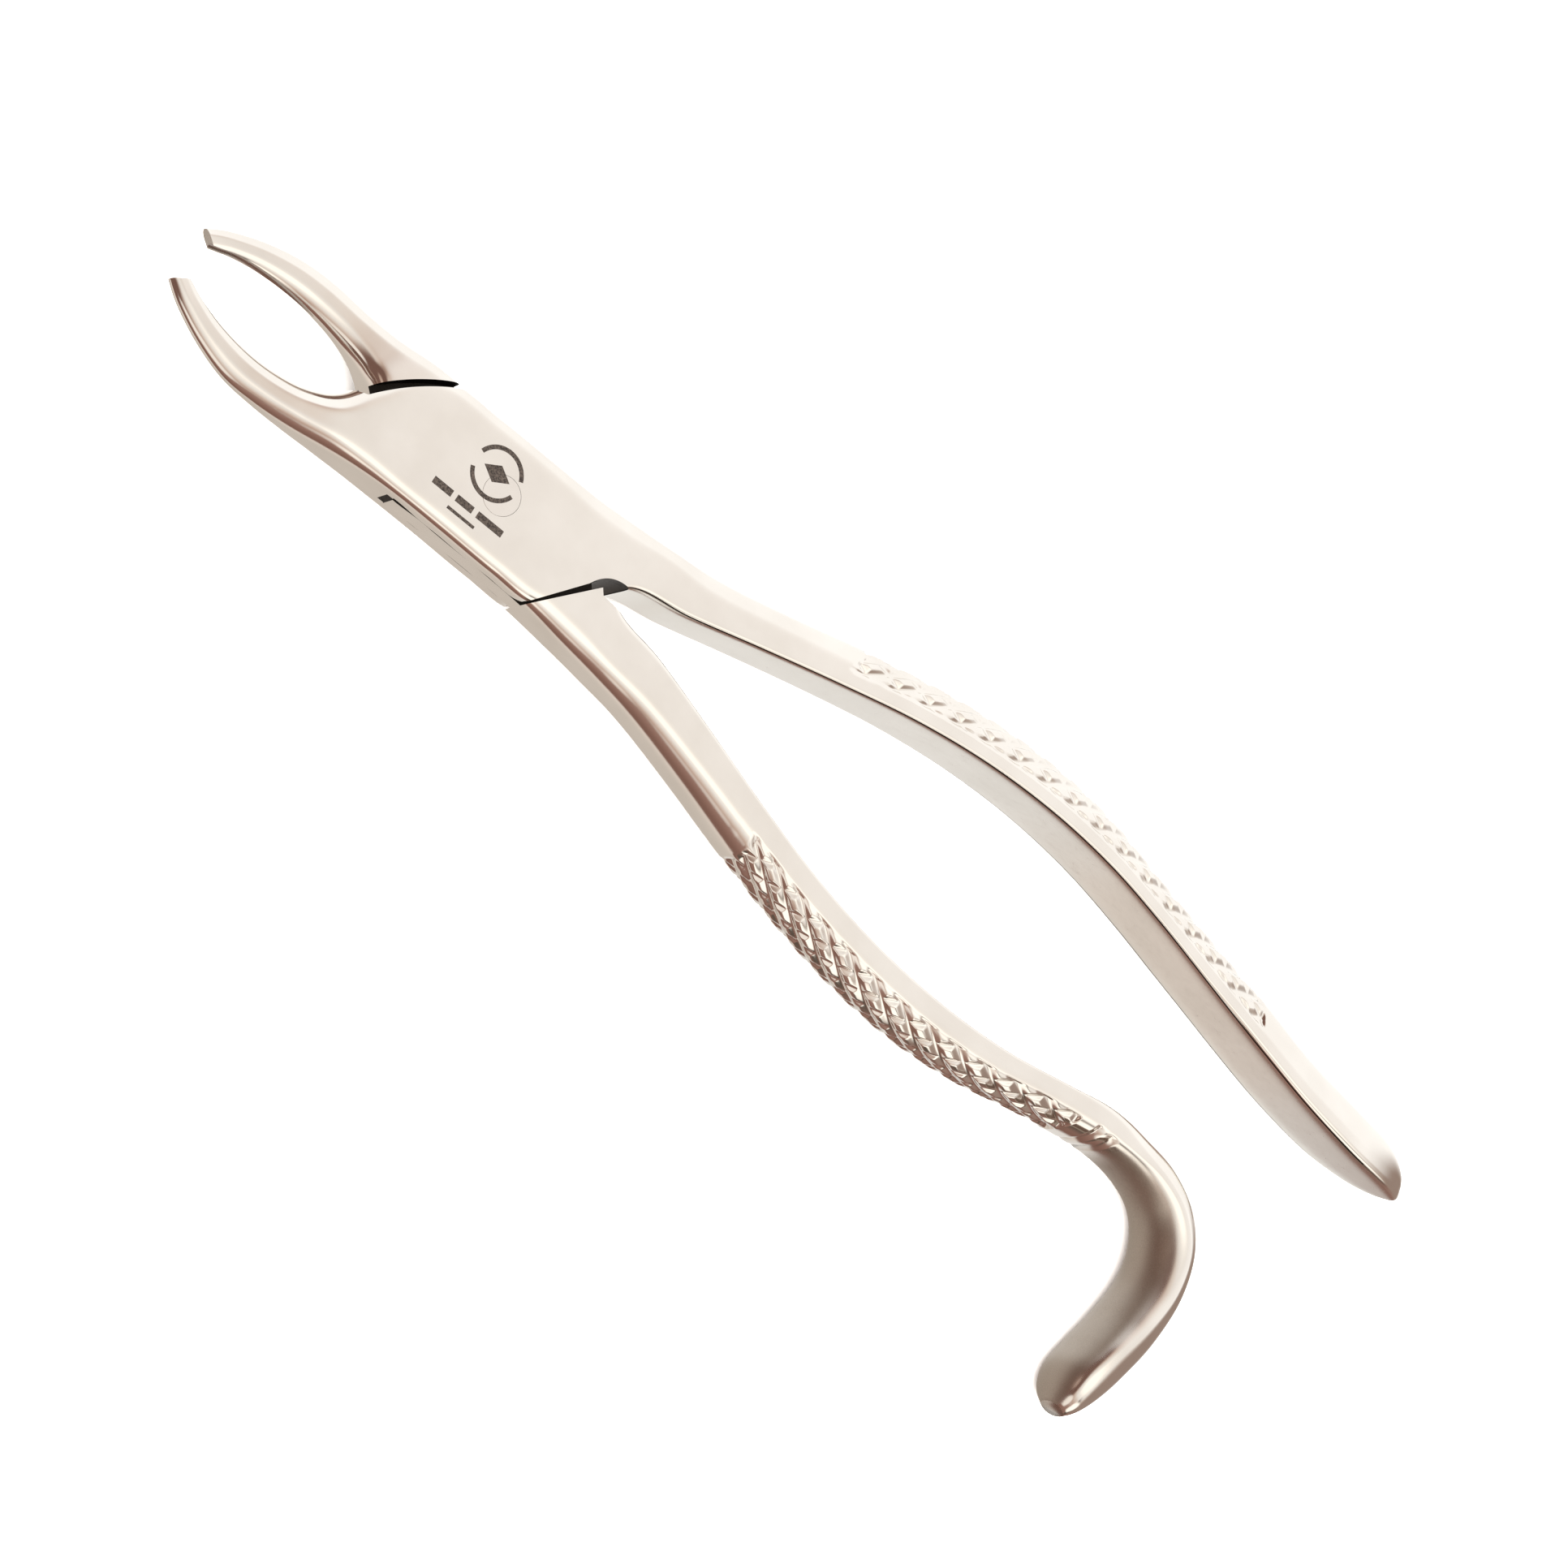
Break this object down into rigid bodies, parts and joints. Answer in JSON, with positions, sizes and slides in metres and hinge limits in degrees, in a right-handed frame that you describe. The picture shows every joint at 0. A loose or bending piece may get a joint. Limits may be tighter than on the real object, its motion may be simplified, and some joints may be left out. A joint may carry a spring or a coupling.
{
  "type": "dental extraction forceps",
  "caption": "Hook-handled tooth extraction forceps with a box joint, hollowed beaks and cross-hatched grips.",
  "frame": {"origin": "where the pivot axis meets the flat back face of the box joint", "axes": "+X points to the beak tips, +Z runs along the pivot pin to the front face of the joint, and the finger hook reaches towards +Y"},
  "size_m": [0.1795, 0.0597, 0.0106],
  "materials": {
    "box_half_steel": "polished",
    "tongue_half_steel": "polished",
    "pin_steel": "satin"
  },
  "bodies": {
    "box_body": {"box_half": "box_half_steel", "joint_pin": "pin_steel"},
    "tongue_body": {"tongue_half": "tongue_half_steel"}
  },
  "joints": [
    {"name": "box_joint", "type": "hinge", "parent": "box_body", "child": "tongue_body", "pos_m": [0, 0, 0], "axis": [0, 0, -1], "range_deg": [-4, 30]}
  ]
}
